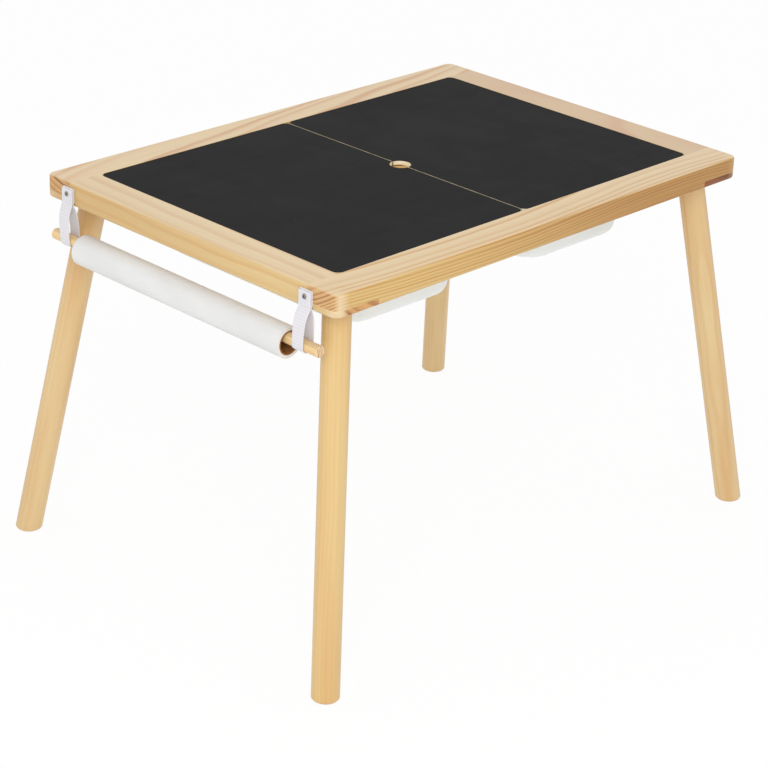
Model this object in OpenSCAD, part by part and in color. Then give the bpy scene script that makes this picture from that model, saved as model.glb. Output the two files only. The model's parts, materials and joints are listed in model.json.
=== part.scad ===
// Kids table with two storage bins, lift-off blackboard lids and a paper roll holder.
// Millimetres, +Z up. The origin is on the floor, centred between the four feet.
// +X runs along the long side, away from the paper roll. Front is -Y, left is -X.

/* [Table] */
// Length of the top
table_l = 800; // [700:10:1000]
// Width of the top
table_w = 570; // [500:10:700]
// Height of the top above the floor
table_h = 548; // [450:2:620]

/* [Frame] */
// Thickness of the frame rails
frame_t = 32; // [28:1:40]
// Width of rail that shows round the lids
rail_face_w = 52; // [45:0.5:65]
// Width of the ledge under the lids and bin rims
ledge_w = 22; // [14:0.5:28]
// Width of the centre rail
centre_rail_w = 45; // [36:1:60]
// Thickness of the end rail's tongue under the long rail's lap
tongue_t = 10; // [8:0.5:16]
// Radius of the four outer corners
corner_r = 13; // [6:0.5:20]
// Radius of the rounded-over outer edges
edge_r = 3.5; // [1:0.5:5]
// Radius of the recess corners
recess_r = 10; // [4:0.5:16]
// Diameter of the glue dowels in the centre rail
dowel_d = 8; // [6:1:10]
// Length of the glue dowels
dowel_len = 40; // [24:2:60]
// Distance between the two dowels at one end
dowel_pitch = 22; // [16:1:28]

/* [Lids] */
// Thickness of a lid with its blackboard sheet
lid_t = 6; // [5:0.5:8]
// Thickness of the blackboard sheet
sheet_t = 0.5; // [0.4:0.1:1]
// Gap between the two lids
lid_gap = 2.5; // [1.5:0.5:5]
// Clearance between a lid and the recess
lid_clear = 0.75; // [0.5:0.25:2]
// Radius of a lid's two corners at the centre gap
lid_gap_r = 9; // [2:0.5:14]
// Diameter of the finger hole
finger_d = 30; // [24:1:40]

/* [Bins] */
// Gap between a bin's mouth and each end of its window in the frame
bin_gap_x = 30.25; // [24:0.25:50]
// Gap between a bin's mouth and each side of its window
bin_gap_y = 8; // [5:0.5:45]
// Depth of a bin below the top of its rim
bin_depth = 106; // [70:1:150]
// Slope of the walls, in degrees
bin_draft = 9.5; // [4:0.5:11]
// Radius of the wall corners at the mouth
bin_corner_r = 60; // [45:1:80]
// Radius between the walls and the bottom
bin_fillet = 12; // [6:1:16]
// Thickness of the walls
bin_wall = 2; // [1.5:0.25:3]
// Thickness of the rim
rim_t = 2; // [1.5:0.25:3]
// Clearance between the rim and the recess
rim_clear = 1; // [0.5:0.25:2]
// Width of the rim that rests on the centre rail
rim_seat = 6.5; // [4:0.5:10]

/* [Legs] */
// Diameter of a leg
leg_d = 38; // [30:1:44]
// Outward lean of a leg, in degrees
leg_tilt = 11.4; // [6:0.2:14]
// Direction of the lean, in degrees from the long side
leg_azimuth = 45; // [30:1:60]
// Distance of the leg's top centre from the end of the top
leg_inset_x = 47.5; // [40:0.5:55]
// Distance of the leg's top centre from the side of the top
leg_inset_y = 46.5; // [40:0.5:55]
// Radius of the rounded edge round the foot
foot_r = 5; // [2:0.5:7]

/* [Leg fixings] */
// Diameter of the hanger bolt
bolt_d = 8; // [6:1:10]
// Length of the bolt inside the leg
bolt_leg_len = 42; // [25:1:60]
// Outer diameter of the threaded insert
insert_d = 12; // [11:0.5:16]
// Length of the threaded insert
insert_len = 15; // [10:1:20]
// Radial gap round bolts, inserts, dowels and screws in their holes
fix_gap = 0.05; // [0.02:0.01:0.1]
// Depth that a blind hole runs on past what it holds
hole_spare = 2; // [1:0.5:4]

/* [Paper holder] */
// Width of the cotton webbing
strap_w = 21.5; // [15:0.5:30]
// Thickness of one layer of webbing
web_t = 1.2; // [1:0.1:1.6]
// Distance of each strap's middle from the side of the table
strap_inset = 51.5; // [46:0.5:80]
// Height of the strap's upper end below the top
strap_drop = 6; // [4:0.5:10]
// How much lower the outer end is sewn off
strap_step = 1.75; // [0:0.25:3]
// Height of the screw below the top
screw_drop = 14.5; // [12:0.5:16]
// Diameter of the screw head
screw_head_d = 7; // [6:0.5:10]
// Height of the screw head
screw_head_t = 2.4; // [2:0.1:3.5]
// Depth that the head sinks into the webbing
screw_sink = 1.2; // [0.5:0.1:2]
// Diameter of the screw shank
screw_d = 3.2; // [2.5:0.1:4]
// Length of the screw shank inside the rail
screw_len = 25; // [15:1:35]
// Diameter of the rod
rod_d = 16; // [12:1:20]
// Length of the rod past the middle of each strap
rod_over = 29; // [15:1:45]
// Offset of the rod's middle towards the front
rod_shift = 2; // [0:0.5:8]
// Height of the rod's centre below the top
rod_drop = 79.5; // [65:0.5:110]
// Distance of the rod's centre outside the end of the table
rod_out = 4; // [1:0.5:12]
// Radius of the rod's rounded ends
rod_end_r = 2.5; // [1:0.5:5]
// Gap between the rod and the webbing
strap_gap = 0.3; // [0.2:0.05:0.5]

/* [Paper roll] */
// Mean gap between the roll's ends and the straps
roll_gap = 19.25; // [11:0.25:60]
// Offset of the roll's middle towards the front
roll_shift = 4; // [0:0.5:10]
// Outer diameter of the paper
roll_d = 42.6; // [38:0.2:80]
// Outer diameter of the cardboard core
core_d = 33; // [30:0.5:36]
// Wall of the cardboard core
core_wall = 1.75; // [1:0.25:3]
// Gap between the rod and the core that hangs on it
core_gap = 0.3; // [0.2:0.05:0.5]

/* [Hidden] */
$fn = 64;
over = 1;                        // how far a cutting shape runs past what it cuts
bed_z = table_h - frame_t;       // underside of the frame
tongue_z = bed_z + tongue_t;     // top of the end rails' tongues
seat_z = table_h - lid_t - rim_t; // ledge that carries the bin rims
rim_z = seat_z + rim_t;          // top of the rims, which carry the lids
rail_w = rail_face_w + ledge_w;  // full width of the four outer rails
recess_l = table_l - 2 * rail_face_w;
recess_w = table_w - 2 * rail_face_w;
window_x0 = centre_rail_w / 2;   // inner edge of a bin's window in the frame
window_x1 = table_l / 2 - rail_w;
bin_x = (window_x0 + window_x1) / 2;
bin_w = window_x1 - window_x0 - 2 * bin_gap_x;   // mouth along the table's length
bin_l = table_w - 2 * rail_w - 2 * bin_gap_y;    // mouth across the table
leg_x = table_l / 2 - leg_inset_x;
leg_y = table_w / 2 - leg_inset_y;
leg_r = leg_d / 2;
foot_spare = 0.1;                // room between the leg and the start of the foot's rounding
bolt_len = bolt_leg_len + insert_len;
strap_y = table_w / 2 - strap_inset;
rod_r = rod_d / 2;
rod_len = 2 * (strap_y + rod_over);
rod_x = -table_l / 2 - rod_out;
rod_z = table_h - rod_drop;
core_bore_r = core_d / 2 - core_wall;
roll_z = rod_z + rod_r + core_gap - core_bore_r;
roll_len = 2 * (strap_y - roll_gap) - strap_w;
hem_t = 2 * web_t;               // each end of a strap is folded double
swing_x = -table_l / 2 - hem_t;  // line on which the hanging loops swing
swing_z = bed_z + 0.5;
swing_gap = 0.3;
loop_r = rod_r + strap_gap;      // inside of the loop round the rod
loop_swell = 3.2;                // how fast the loop opens below the rail
loop_steps = 10;
head_z = screw_sink - screw_head_t - 2 * hem_t; // front of a screw's head, from the end face
cross_w = 1;                     // slot of the screw's cross recess
cross_l = 4;
cross_t = 1.2;

// ---- outlines ----

// Rectangle from [x0, y0] to [x1, y1]; its left corners have radius r0, its right ones r1.
module rounded_plate(x0, x1, y0, y1, r0, r1) {
    translate([x0 + r0, y0]) square([x1 - x0 - r0 - r1, y1 - y0]);
    translate([x0, y0 + r0]) square([r0, y1 - y0 - 2 * r0]);
    translate([x1 - r1, y0 + r1]) square([r1, y1 - y0 - 2 * r1]);
    for (y = [y0 + r0, y1 - r0]) translate([x0 + r0, y]) circle(r0);
    for (y = [y0 + r1, y1 - r1]) translate([x1 - r1, y]) circle(r1);
}

// Section of a slab of width w, with its four edges rounded over.
module slab_section(w) {
    translate([edge_r - w / 2, 0]) square([w - 2 * edge_r, frame_t]);
    translate([-w / 2, edge_r]) square([w, frame_t - 2 * edge_r]);
    for (x = [-1, 1], z = [edge_r, frame_t - edge_r]) {
        translate([x * (w / 2 - edge_r), z]) circle(edge_r);
    }
}

// Half section of the slab at a rounded corner, turned about the corner's own axis.
module corner_section() {
    intersection() {
        slab_section(2 * corner_r);
        square([corner_r, frame_t]);
    }
}

// ---- frame ----

// The whole top as one slab with rounded corners and edges, from which the rails are cut.
module frame_slab() {
    translate([0, 0, bed_z]) {
        rotate([90, 0, 90]) {
            linear_extrude(table_l - 2 * corner_r, center = true) slab_section(table_w);
        }
        rotate([90, 0, 0]) {
            linear_extrude(table_w - 2 * corner_r, center = true) slab_section(table_l);
        }
        for (sx = [-1, 1], sy = [-1, 1]) {
            translate([sx * (table_l / 2 - corner_r), sy * (table_w / 2 - corner_r), 0]) {
                rotate([0, 0, sx > 0 ? (sy > 0 ? 0 : 270) : (sy > 0 ? 90 : 180)]) {
                    rotate_extrude(angle = 90) corner_section();
                }
            }
        }
    }
}

// Recess that the rims and lids lie in.
module recess() {
    translate([0, 0, seat_z]) {
        linear_extrude(lid_t + rim_t + over) {
            rounded_plate(-recess_l / 2, recess_l / 2, -recess_w / 2, recess_w / 2,
                          recess_r, recess_r);
        }
    }
}

// Box from [x0, y0, z0] to [x1, y1, z1].
module block(x0, x1, y0, y1, z0, z1) {
    translate([x0, y0, z0]) cube([x1 - x0, y1 - y0, z1 - z0]);
}

// Holes for the leg inserts, the strap screws and the dowels, cut from every rail they meet.
module frame_holes() {
    for (sx = [-1, 1], sy = [-1, 1]) {
        on_leg(sx, sy) {
            translate([0, 0, -leg_r]) {
                cylinder(r = insert_d / 2 + fix_gap, h = leg_r + insert_len + hole_spare);
            }
        }
    }
    for (sy = [-1, 1]) {
        on_screw(sy) {
            translate([0, 0, -over]) {
                cylinder(r = screw_d / 2 + fix_gap, h = over + screw_len + hole_spare);
            }
        }
    }
    dowels(dowel_d / 2 + fix_gap, dowel_len + 2 * hole_spare);
}

module long_rail(sy) {
    color("burlywood") difference() {
        intersection() {
            frame_slab();
            scale([1, sy, 1]) union() {
                block(-window_x1, window_x1, table_w / 2 - rail_w, table_w / 2 + over,
                      bed_z - over, table_h + over);
                block(-table_l / 2 - over, table_l / 2 + over, recess_w / 2, table_w / 2 + over,
                      tongue_z, table_h + over);
            }
        }
        recess();
        frame_holes();
    }
}

module end_rail(sx) {
    color("burlywood") difference() {
        intersection() {
            frame_slab();
            scale([sx, 1, 1]) union() {
                block(window_x1, table_l / 2 + over, -recess_w / 2, recess_w / 2,
                      bed_z - over, table_h + over);
                block(window_x1, table_l / 2 + over, -table_w / 2 - over, table_w / 2 + over,
                      bed_z - over, tongue_z);
            }
        }
        recess();
        frame_holes();
    }
}

module centre_rail() {
    color("burlywood") difference() {
        block(-centre_rail_w / 2, centre_rail_w / 2, rail_w - table_w / 2, table_w / 2 - rail_w,
              bed_z, seat_z);
        dowels(dowel_d / 2 + fix_gap, dowel_len + 2 * hole_spare);
    }
}

// Two dowels across each joint between the centre rail and a long rail.
module dowels(r, len) {
    for (sx = [-1, 1], sy = [-1, 1]) {
        translate([sx * dowel_pitch / 2, sy * (table_w / 2 - rail_w), (bed_z + seat_z) / 2]) {
            rotate([90, 0, 0]) cylinder(r = r, h = len, center = true);
        }
    }
}

module centre_rail_dowels() {
    color("tan") dowels(dowel_d / 2, dowel_len);
}

// ---- legs ----

// Frame whose +Z runs up a leg's axis, from the middle of the leg's top.
module on_leg(sx, sy) {
    translate([sx * leg_x, sy * leg_y, bed_z]) {
        rotate([0, leg_tilt, atan2(-sy * sin(leg_azimuth), -sx * cos(leg_azimuth))]) children();
    }
}

// Upright solid that bounds a leg: level at the foot and under the frame, with a rounded foot edge.
module leg_bounds(sx, sy) {
    reach = (bed_z - foot_r) * tan(leg_tilt);
    edge = leg_r / cos(leg_tilt) + foot_spare;
    translate([sx * (leg_x + reach * cos(leg_azimuth)), sy * (leg_y + reach * sin(leg_azimuth)), 0]) {
        rotate_extrude() {
            square([edge - foot_r, foot_r]);
            translate([edge - foot_r, foot_r]) circle(foot_r);
            polygon([[0, foot_r], [edge, foot_r], [edge + 2 * reach, bed_z], [0, bed_z]]);
        }
    }
}

module leg(sx, sy) {
    color("wheat") difference() {
        intersection() {
            on_leg(sx, sy) cylinder(r = leg_r, h = 3 * table_h, center = true);
            leg_bounds(sx, sy);
        }
        on_leg(sx, sy) {
            translate([0, 0, -bolt_leg_len - hole_spare]) {
                cylinder(r = bolt_d / 2 + fix_gap, h = bolt_leg_len + hole_spare + leg_r);
            }
        }
    }
}

module leg_bolt(sx, sy) {
    tip = bolt_d / 6;
    end_r = bolt_d / 2 - tip;
    color("silver") on_leg(sx, sy) translate([0, 0, -bolt_leg_len]) rotate_extrude() {
        polygon([[0, 0], [end_r, 0], [bolt_d / 2, tip], [bolt_d / 2, bolt_len - tip],
                 [end_r, bolt_len], [0, bolt_len]]);
    }
}

module leg_insert(sx, sy) {
    color("gold") intersection() {
        on_leg(sx, sy) difference() {
            translate([0, 0, -leg_r]) cylinder(d = insert_d, h = leg_r + insert_len);
            translate([0, 0, -leg_r - over]) {
                cylinder(r = bolt_d / 2 + fix_gap, h = leg_r + insert_len + 2 * over);
            }
        }
        block(-table_l, table_l, -table_w, table_w, bed_z, table_h);
    }
}

// ---- lids ----

// Outline of the lid on the side sx.
module lid_outline(sx) {
    mirror([sx > 0 ? 0 : 1, 0]) difference() {
        rounded_plate(lid_gap / 2, recess_l / 2 - lid_clear,
                      lid_clear - recess_w / 2, recess_w / 2 - lid_clear, lid_gap_r, recess_r);
        circle(d = finger_d);
    }
}

module lid(sx) {
    color("moccasin") translate([0, 0, rim_z]) linear_extrude(lid_t - sheet_t) lid_outline(sx);
}

module blackboard(sx) {
    color([0.16, 0.16, 0.16]) {
        translate([0, 0, table_h - sheet_t]) linear_extrude(sheet_t) lid_outline(sx);
    }
}

// ---- bins ----

// Solid tub with sloping walls and a rounded bottom edge, whose bottom is at height 0.
module tub(w, l, depth, r, fillet) {
    foot = r - depth * tan(bin_draft);
    slope = 90 - bin_draft;
    rise = fillet * (1 - cos(slope));
    steps = 6;
    profile = concat(
        [[0, 0]],
        [for (k = [0 : steps])
            let (a = slope * k / steps)
            [foot + rise * tan(bin_draft) - fillet * (sin(slope) - sin(a)), fillet * (1 - cos(a))]],
        [[r, depth], [0, depth]]
    );
    hull() {
        for (x = [-1, 1], y = [-1, 1]) {
            translate([x * (w / 2 - r), y * (l / 2 - r), 0]) {
                rotate_extrude($fn = 48) polygon(profile);
            }
        }
    }
}

module bin(sx) {
    floor_z = rim_z - bin_depth;
    color("whitesmoke") mirror([sx > 0 ? 0 : 1, 0, 0]) difference() {
        union() {
            translate([0, 0, seat_z]) linear_extrude(rim_t) {
                rounded_plate(window_x0 - rim_seat, recess_l / 2 - rim_clear,
                              rim_clear - recess_w / 2, recess_w / 2 - rim_clear,
                              lid_gap_r, recess_r);
            }
            translate([bin_x, 0, floor_z]) {
                tub(bin_w, bin_l, bin_depth - rim_t / 2, bin_corner_r, bin_fillet);
            }
        }
        translate([bin_x, 0, floor_z + bin_wall]) {
            tub(bin_w - 2 * bin_wall, bin_l - 2 * bin_wall, bin_depth, bin_corner_r - bin_wall,
                bin_fillet - bin_wall);
        }
    }
}

// ---- paper holder ----

// Frame at a strap's screw, with +Z into the rail from the end face.
module on_screw(sy) {
    translate([-table_l / 2, sy * strap_y, table_h - screw_drop]) rotate([0, 90, 0]) children();
}

// Extrudes an outline drawn in X and Z over the strap's width.
module strap_extrude(sy) {
    translate([0, sy * strap_y, 0]) rotate([90, 0, 0]) {
        linear_extrude(strap_w, center = true) children();
    }
}

// Outline of one hemmed strap end, with its folded edge uppermost and its outer face at x.
module hem_outline(x, top_z) {
    low_z = swing_z + web_t + swing_gap;
    translate([x, low_z]) square([hem_t, top_z - web_t - low_z]);
    translate([x + web_t, top_z - web_t]) circle(web_t);
}

// Both hemmed ends of a strap, one on the other, flat against the end of the table.
module strap_tab(sy) {
    top_z = table_h - strap_drop;
    color("ghostwhite") difference() {
        strap_extrude(sy) {
            hem_outline(swing_x, top_z);
            hem_outline(swing_x - hem_t, top_z - strap_step);
        }
        on_screw(sy) {
            translate([0, 0, head_z - over]) {
                cylinder(r = screw_head_d / 2 + fix_gap, h = over + screw_head_t);
            }
            translate([0, 0, head_z]) cylinder(r = screw_d / 2 + fix_gap, h = over - head_z);
        }
    }
}

// One side of the loop, from the swing line down to the rod, at distances d0 and d1 from its middle.
function loop_side(side, d0, d1) = [
    for (k = [0 : loop_steps])
        let (s = k / loop_steps, open = 1 - pow(1 - s, loop_swell))
        [swing_x + side * d0 + (rod_x + side * d1 - swing_x - side * d0) * open,
         swing_z + (rod_z - swing_z) * s]
];

// Drop shape that the loop fills, with half widths d0 at the swing line and d1 at the rod.
module drop_outline(d0, d1) {
    left = loop_side(-1, d0, d1);
    right = loop_side(1, d0, d1);
    polygon(concat(left, [for (k = [loop_steps : -1 : 0]) right[k]]));
    translate([rod_x, rod_z]) circle(d1);
}

module strap_loop(sy) {
    color("ghostwhite") strap_extrude(sy) {
        difference() {
            union() {
                drop_outline(web_t, loop_r + web_t);
                translate([swing_x, swing_z]) circle(web_t);
            }
            difference() {
                drop_outline(0, loop_r);
                translate([swing_x, swing_z]) circle(web_t);
            }
        }
    }
}

module strap_screw(sy) {
    edge = screw_head_t / 3;
    color("dimgray") on_screw(sy) difference() {
        union() {
            translate([0, 0, head_z]) rotate_extrude() {
                square([screw_head_d / 2 - edge, screw_head_t]);
                translate([0, edge]) square([screw_head_d / 2, screw_head_t - edge]);
                translate([screw_head_d / 2 - edge, edge]) circle(edge);
            }
            translate([0, 0, head_z + screw_head_t]) {
                cylinder(d = screw_d, h = screw_len - head_z - screw_head_t);
            }
        }
        for (a = [0, 90]) {
            rotate([0, 0, a]) {
                block(-cross_l / 2, cross_l / 2, -cross_w / 2, cross_w / 2,
                      head_z - over, head_z + cross_t);
            }
        }
    }
}

module holder_rod() {
    color("burlywood") translate([rod_x, -rod_shift, rod_z]) rotate([90, 0, 0]) {
        translate([0, 0, -rod_len / 2]) rotate_extrude() {
            translate([0, rod_end_r]) square([rod_r, rod_len - 2 * rod_end_r]);
            square([rod_r - rod_end_r, rod_len]);
            for (z = [rod_end_r, rod_len - rod_end_r]) {
                intersection() {
                    translate([rod_r - rod_end_r, z]) circle(rod_end_r);
                    square([rod_r, rod_len]);
                }
            }
        }
    }
}

// Tube along Y on the roll's axis.
module roll_tube(outer_r, inner_r) {
    translate([rod_x, -roll_shift, roll_z]) rotate([90, 0, 0]) difference() {
        cylinder(r = outer_r, h = roll_len, center = true);
        cylinder(r = inner_r, h = roll_len + 2 * over, center = true);
    }
}

module paper_core() {
    color("peru") roll_tube(core_d / 2, core_bore_r);
}

module paper_roll() {
    color("white") roll_tube(roll_d / 2, core_d / 2);
}

long_rail(-1);  // long_rail_front
long_rail(1);  // long_rail_back
end_rail(-1);  // end_rail_left
end_rail(1);  // end_rail_right
centre_rail();
centre_rail_dowels();
leg(-1, -1);  // leg_front_left
leg(1, -1);  // leg_front_right
leg(-1, 1);  // leg_back_left
leg(1, 1);  // leg_back_right
leg_bolt(-1, -1);  // leg_bolt_front_left
leg_bolt(1, -1);  // leg_bolt_front_right
leg_bolt(-1, 1);  // leg_bolt_back_left
leg_bolt(1, 1);  // leg_bolt_back_right
leg_insert(-1, -1);  // leg_insert_front_left
leg_insert(1, -1);  // leg_insert_front_right
leg_insert(-1, 1);  // leg_insert_back_left
leg_insert(1, 1);  // leg_insert_back_right
lid(-1);  // lid_left
lid(1);  // lid_right
blackboard(-1);  // blackboard_left
blackboard(1);  // blackboard_right
bin(-1);  // bin_left
bin(1);  // bin_right
strap_tab(-1);  // strap_tab_front
strap_tab(1);  // strap_tab_back
strap_loop(-1);  // strap_loop_front
strap_loop(1);  // strap_loop_back
strap_screw(-1);  // strap_screw_front
strap_screw(1);  // strap_screw_back
holder_rod();
paper_core();
paper_roll();
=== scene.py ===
"""Looks of a children's table with storage.

A pine frame stands on four splayed legs. Two blackboard lids lie over two plastic bins,
and a roll of drawing paper hangs on a rod in two loops of cotton webbing.
"""

import json
import math
from collections import namedtuple

import bmesh
import bpy
from mathutils import Matrix, Vector, noise


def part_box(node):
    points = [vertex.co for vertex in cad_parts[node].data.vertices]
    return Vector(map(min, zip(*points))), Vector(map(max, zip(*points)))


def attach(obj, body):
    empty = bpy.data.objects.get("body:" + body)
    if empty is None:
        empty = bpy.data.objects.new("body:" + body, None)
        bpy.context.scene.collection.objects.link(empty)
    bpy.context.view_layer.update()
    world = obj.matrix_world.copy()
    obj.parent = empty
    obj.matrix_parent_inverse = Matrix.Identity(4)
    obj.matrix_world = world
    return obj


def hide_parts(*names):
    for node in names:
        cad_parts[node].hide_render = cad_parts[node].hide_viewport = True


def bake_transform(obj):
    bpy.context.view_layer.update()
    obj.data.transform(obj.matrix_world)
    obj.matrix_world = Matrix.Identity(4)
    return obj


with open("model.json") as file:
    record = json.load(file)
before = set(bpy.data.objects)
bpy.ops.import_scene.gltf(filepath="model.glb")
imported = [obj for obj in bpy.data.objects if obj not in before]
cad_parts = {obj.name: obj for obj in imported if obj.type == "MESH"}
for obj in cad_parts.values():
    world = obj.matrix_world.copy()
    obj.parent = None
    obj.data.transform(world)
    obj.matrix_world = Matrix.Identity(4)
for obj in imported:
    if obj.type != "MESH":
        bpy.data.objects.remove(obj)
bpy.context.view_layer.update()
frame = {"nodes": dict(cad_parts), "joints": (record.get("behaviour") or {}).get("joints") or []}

MM = 0.001
LEFT, RIGHT = -1, 1
SIDES = {"left": LEFT, "right": RIGHT}
ENDS = {"front": -1, "back": 1}
X, Y, Z = Vector((1, 0, 0)), Vector((0, 1, 0)), Vector((0, 0, 1))


# ---- shader helpers ----

NOISE = (0.3, 0.7)             # most values of a noise lie between these


def rgb(red, green, blue):
    """Linear colour with alpha, from 0 to 255 values."""
    def linear(value):
        value /= 255
        return value / 12.92 if value <= 0.04045 else ((value + 0.055) / 1.055) ** 2.4
    return (linear(red), linear(green), linear(blue), 1)


class Graph:
    """One node tree, with a short call for each kind of node that the finishes use."""

    def __init__(self, tree):
        self.tree = tree

    def feed(self, socket, value):
        """Links another socket to this one, or gives it a constant."""
        if isinstance(value, bpy.types.NodeSocket):
            self.tree.links.new(value, socket)
        else:
            socket.default_value = value

    def add(self, kind, inputs=None, **settings):
        """A new node with these settings and inputs."""
        node = self.tree.nodes.new("ShaderNode" + kind)
        for key, value in settings.items():
            setattr(node, key, value)
        for key, value in (inputs or {}).items():
            self.feed(node.inputs[key], value)
        return node

    def use(self, tree, inputs):
        """Outputs of a node group placed with these values."""
        return self.add("Group", inputs, node_tree=tree).outputs

    def math(self, operation, a, b=0.0, c=0.0):
        return self.add("Math", {0: a, 1: b, 2: c}, operation=operation).outputs[0]

    def times(self, a, b):
        return self.math("MULTIPLY", a, b)

    def minus(self, a, b):
        return self.math("SUBTRACT", a, b)

    def times_plus(self, a, b, c):
        """a times b, plus c."""
        return self.math("MULTIPLY_ADD", a, b, c)

    def span(self, value, low, high, to_low=0.0, to_high=1.0):
        """A value's stretch from low to high, eased and spread from to_low to to_high."""
        inputs = {0: value, 1: low, 2: high, 3: to_low, 4: to_high}
        return self.add("MapRange", inputs, interpolation_type="SMOOTHSTEP").outputs[0]

    def ramp(self, value, stops):
        """Grey value that runs through the stops, given as (place, grey)."""
        node = self.add("ValToRGB", {0: value})
        elements = node.color_ramp.elements
        while len(elements) < len(stops):
            elements.new(0.5)
        for element, (place, grey) in zip(elements, stops):
            element.position = place
            element.color = (grey, grey, grey, 1)
        return node.outputs[0]

    def parts(self, vector):
        """The X, Y and Z of a vector."""
        return self.add("SeparateXYZ", {0: vector}).outputs

    def stretch(self, vector, scale):
        """A vector times a vector, to draw a pattern out along one axis."""
        return self.add("VectorMath", {0: vector, 1: scale}, operation="MULTIPLY").outputs[0]

    def measured(self, vector, origin, turn=(0, 0, 0)):
        """A vector measured from an origin, along axes turned by these angles."""
        inputs = {"Vector": vector, "Location": origin, "Rotation": turn}
        return self.add("Mapping", inputs, vector_type="TEXTURE").outputs[0]

    def noise(self, vector, scale=1.0, detail=2.0, roughness=0.5, distortion=0.0):
        inputs = {"Vector": vector, "Scale": scale, "Detail": detail,
                  "Roughness": roughness, "Distortion": distortion}
        return self.add("TexNoise", inputs).outputs[0]

    def noise_along(self, value, scale, detail):
        """Noise that changes with one value only."""
        inputs = {"W": value, "Scale": scale, "Detail": detail}
        return self.add("TexNoise", inputs, noise_dimensions="1D").outputs[0]

    def mix(self, share, a, b, blend="MIX"):
        """Colour a with a share of colour b mixed in."""
        inputs = {0: share, 6: a, 7: b}
        return self.add("Mix", inputs, data_type="RGBA", blend_type=blend).outputs[2]

    def bump(self, height, strength, distance):
        inputs = {"Height": height, "Strength": strength, "Distance": distance}
        return self.add("Bump", inputs).outputs[0]


def start_group(name, takes, gives):
    """An empty node group that takes a vector and these values, and gives these values.

    Returns its graph, the sockets that come in and the sockets that go out.
    """
    tree = bpy.data.node_groups.new(name, "ShaderNodeTree")
    tree.interface.new_socket(name="Vector", in_out="INPUT", socket_type="NodeSocketVector")
    for direction, labels in (("INPUT", takes), ("OUTPUT", gives)):
        for label in labels:
            tree.interface.new_socket(name=label, in_out=direction, socket_type="NodeSocketFloat")
    take = tree.nodes.new("NodeGroupInput").outputs
    give = tree.nodes.new("NodeGroupOutput").inputs
    return Graph(tree), take, give


def start_material(name, **constants):
    """A material, its graph and its shader, with the shader's constant values set."""
    material = bpy.data.materials.new(name)
    material.use_nodes = True
    shader = material.node_tree.nodes["Principled BSDF"]
    for label, value in constants.items():
        shader.inputs[label.replace("_", " ")].default_value = value
    return material, Graph(material.node_tree), shader.inputs


def object_coordinates(graph):
    return graph.add("TexCoord").outputs["Object"]


# ---- mesh helpers ----

SMOOTH_UNDER = math.radians(28)    # faces that meet at less than this are smooth
SHARP = math.radians(40)           # edges that turn by more than this are rounded
FLAT = math.radians(0.4)           # faces that meet at less than this are one
WELD = 0.001 * MM                  # how close the corners of a CAD node's triangles lie
NEAR = 0.01 * MM                   # places closer than this are the same
Box = namedtuple("Box", "low high centre")


def box_of(node):
    """A CAD node's lowest and highest corners and its middle."""
    low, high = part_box(node)
    return Box(low, high, (low + high) / 2)


def finish_node(node, material):
    """A CAD node that is shown as it is gets its finish."""
    frame["nodes"][node].data.materials[0] = material


def place_object(name, data):
    """A new object in the scene, made of this data."""
    made = bpy.data.objects.new(name, data)
    bpy.context.scene.collection.objects.link(made)
    return made


def add_piece(name, bm, material):
    """A finished mesh as an object at the origin, smooth except across its sharp edges."""
    mesh = bpy.data.meshes.new(name)
    bm.to_mesh(mesh)
    bm.free()
    mesh.shade_smooth()
    mesh.set_sharp_from_angle(angle=SMOOTH_UNDER)
    mesh.materials.append(material)
    return place_object(name, mesh)


def stand_in(piece, nodes, body):
    """The piece takes the nodes' place, and joins their body when one is given."""
    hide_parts(*nodes)
    if body:
        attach(piece, body)


def thicken(piece, thickness, offset):
    """Gives a bare surface its wall: -1 grows it inwards, 0 to both sides."""
    wall = piece.modifiers.new("wall", "SOLIDIFY")
    wall.thickness = thickness
    wall.offset = offset
    wall.use_even_offset = True


def soften(piece, width, steps=2):
    """Rounds what is left sharp once the piece has its thickness."""
    rounding = piece.modifiers.new("rounding", "BEVEL")
    rounding.width = width
    rounding.segments = steps
    rounding.limit_method = "ANGLE"
    rounding.angle_limit = SHARP


def bevel(bm, edges, width, steps=1):
    bmesh.ops.bevel(bm, geom=list(edges), offset=width, offset_type="OFFSET", segments=steps,
                    profile=0.5, affect="EDGES", material=-1, clamp_overlap=True)


def eased_copy(name, node, width, material):
    """A CAD node's shape with its sharp outer edges eased, as sanding leaves them."""
    bm = bmesh.new()
    bm.from_mesh(frame["nodes"][node].data)
    bmesh.ops.remove_doubles(bm, verts=bm.verts, dist=WELD)
    bmesh.ops.dissolve_limit(bm, angle_limit=FLAT, verts=bm.verts, edges=bm.edges)
    sharp = [edge for edge in bm.edges if len(edge.link_faces) == 2 and edge.is_convex
             and edge.calc_face_angle() > SHARP]
    bevel(bm, sharp, width)
    return add_piece(name, bm, material)


# ---- camera, floor and light ----

CAMERA_AT = Vector((-2.2956, -2.1975, 1.6817))
CAMERA_YAW, CAMERA_PITCH, CAMERA_ROLL = 46.055, 24.864, 2.228      # degrees
CAMERA_LENS = 112.79           # millimetres
SKY = 0.8                      # what the surroundings give to the object, where 1 is white
KEY_AT, KEY_AIM = (-2.4, -2.2, 2.3), Vector((0, 0, 0.4))
KEY_SIZE, KEY_WATTS = 1.8, 40  # metres, watts
FLOOR_REACH = 12               # metres from the table's middle to the floor's edges
FLOOR_GLOW = 0.92              # share of the floor's white that its shadows don't reach
WHITE = (1, 1, 1, 1)


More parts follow.
